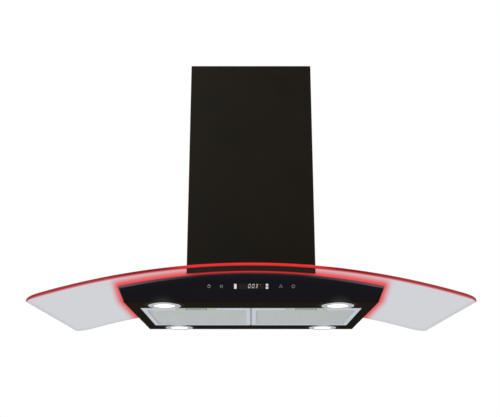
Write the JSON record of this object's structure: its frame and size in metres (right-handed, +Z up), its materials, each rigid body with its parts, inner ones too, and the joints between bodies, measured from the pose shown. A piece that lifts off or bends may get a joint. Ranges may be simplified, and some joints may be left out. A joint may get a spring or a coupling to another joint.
{
  "type": "range hood",
  "caption": "Wall-mounted extractor hood with an arched clear glass canopy, sloping black touch fascia, box chimney, grease filters, round lamps and a red glowing edge.",
  "frame": {"origin": "centre of the four wall holes, on the wall plane", "axes": "+X to the right seen from the front, +Y into the wall, +Z up; the front faces -Y"},
  "size_m": [0.9, 0.5, 0.6389],
  "materials": {
    "black_paint": "satin black-brown powder coat",
    "black_glass": "black glass, polished",
    "clear_glass": "clear toughened glass, polished",
    "red_guide": "translucent red light guide, lit",
    "circuit_board": "solder-masked laminate",
    "display_block": "dark display block",
    "rubber": "matt",
    "zinc_steel": "zinc-coated sheet",
    "screw_steel": "plated",
    "spring_steel": "bright",
    "black_plastic": "moulded",
    "grey_plastic": "moulded",
    "motor_paint": "satin",
    "capacitor_case": "white moulded",
    "filter_aluminium": "satin expanded mesh",
    "chrome_ring": "polished",
    "lamp_lens": "lit diffuser",
    "lamp_module": "cast"
  },
  "bodies": {
    "hood": {"canopy_base": "black_paint", "canopy_top": "black_paint", "fascia_glass": "black_glass", "display_module": "display_block", "touch_board": "circuit_board", "glow_guide": "red_guide", "glow_led_tape": "circuit_board", "curved_glass": "clear_glass", "glass_gasket": "rubber", "glass_screws": "screw_steel", "glass_washers": "rubber", "blower_frame": "zinc_steel", "frame_screws": "screw_steel", "top_screws": "screw_steel", "side_screws": "screw_steel", "blower_housing_right": "black_plastic", "blower_housing_left": "black_plastic", "seam_screws": "screw_steel", "motor_bracket": "zinc_steel", "inlet_guard": "zinc_steel", "inlet_screws": "screw_steel", "motor": "motor_paint", "capacitor": "capacitor_case", "outlet_spigot": "black_plastic", "flap_pin": "screw_steel", "terminal_box": "black_plastic", "terminal_lid": "black_plastic", "power_board": "circuit_board", "cable_gland": "black_plastic", "led_driver": "capacitor_case", "chimney_outer": "black_paint", "chimney_clips": "zinc_steel", "chimney_screws": "screw_steel", "lamp_bezel_front_left": "chrome_ring", "lamp_lens_front_left": "lamp_lens", "lamp_body_front_left": "lamp_module", "lamp_bezel_front_right": "chrome_ring", "lamp_lens_front_right": "lamp_lens", "lamp_body_front_right": "lamp_module", "lamp_bezel_back_left": "chrome_ring", "lamp_lens_back_left": "lamp_lens", "lamp_body_back_left": "lamp_module", "lamp_bezel_back_right": "chrome_ring", "lamp_lens_back_right": "lamp_lens", "lamp_body_back_right": "lamp_module"},
    "chimney_upper": {"chimney_inner": "black_paint", "chimney_bracket": "zinc_steel", "bracket_screws": "screw_steel"},
    "fan": {"impeller": "grey_plastic", "motor_shaft": "screw_steel"},
    "flap_right": {"flap_right": "black_plastic"},
    "flap_left": {"flap_left": "black_plastic"},
    "filter_right": {"filter_frame_right": "filter_aluminium", "filter_mesh_right": "filter_aluminium", "latch_spring_right": "spring_steel"},
    "filter_left": {"filter_frame_left": "filter_aluminium", "filter_mesh_left": "filter_aluminium", "latch_spring_left": "spring_steel"},
    "latch_right": {"filter_latch_right": "grey_plastic"},
    "latch_left": {"filter_latch_left": "grey_plastic"}
  },
  "joints": [
    {"name": "chimney_extension", "type": "slide", "parent": "hood", "child": "chimney_upper", "axis": [0, 0, 1], "range_m": [0, 0.37]},
    {"name": "fan_spin", "type": "hinge", "parent": "hood", "child": "fan", "pos_m": [0, -0.108, -0.003], "axis": [1, 0, 0], "continuous": true},
    {"name": "flap_right_swing", "type": "hinge", "parent": "hood", "child": "flap_right", "pos_m": [0, -0.091, 0.1265], "axis": [0, -1, 0], "range_deg": [0, 70]},
    {"name": "flap_left_swing", "type": "hinge", "parent": "hood", "child": "flap_left", "pos_m": [0, -0.091, 0.1265], "axis": [0, 1, 0], "range_deg": [0, 70]},
    {"name": "filter_right_swing", "type": "hinge", "parent": "hood", "child": "filter_right", "pos_m": [0.12075, -0.073, -0.19], "axis": [1, 0, 0], "range_deg": [0, 75]},
    {"name": "latch_right_slide", "type": "slide", "parent": "filter_right", "child": "latch_right", "axis": [0, 1, 0], "range_m": [0, 0.006], "stiffness_N_per_m": 250, "springref_m": -0.003, "deforming": ["latch_spring_right"]},
    {"name": "filter_left_swing", "type": "hinge", "parent": "hood", "child": "filter_left", "pos_m": [-0.12075, -0.073, -0.19], "axis": [1, 0, 0], "range_deg": [0, 75]},
    {"name": "latch_left_slide", "type": "slide", "parent": "filter_left", "child": "latch_left", "axis": [0, 1, 0], "range_m": [0, 0.006], "stiffness_N_per_m": 250, "springref_m": -0.003, "deforming": ["latch_spring_left"]}
  ]
}
